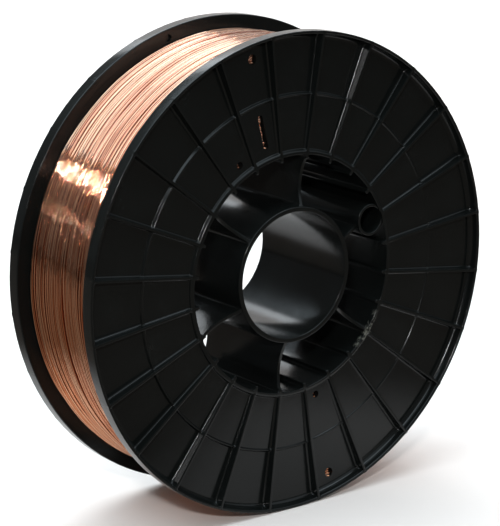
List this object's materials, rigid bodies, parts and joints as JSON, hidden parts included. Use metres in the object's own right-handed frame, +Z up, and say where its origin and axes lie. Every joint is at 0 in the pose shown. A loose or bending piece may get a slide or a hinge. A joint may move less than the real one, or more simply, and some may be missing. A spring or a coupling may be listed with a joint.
{
  "type": "spool of welding wire",
  "caption": "Black moulded spool with ribbed flanges, a spoked hub with a spindle bore and a drive hole, wound with copper-coated welding wire.",
  "frame": {"origin": "middle of the spindle bore, halfway between the two flanges' rims", "axes": "+Y along the spindle bore, away from the flange with the wire-end holes; +Z up as the spool stands on its rims; +X to the right seen from that flange"},
  "size_m": [0.2, 0.0594, 0.2],
  "materials": {
    "black_plastic": "injection-moulded black polystyrene, half-gloss, with moulded ribs",
    "coppered_wire": "drawn steel wire with a bright copper coating, wound turn by turn"
  },
  "bodies": {
    "root": {"spool": "black_plastic", "wire_coil": "coppered_wire"}
  },
  "joints": []
}
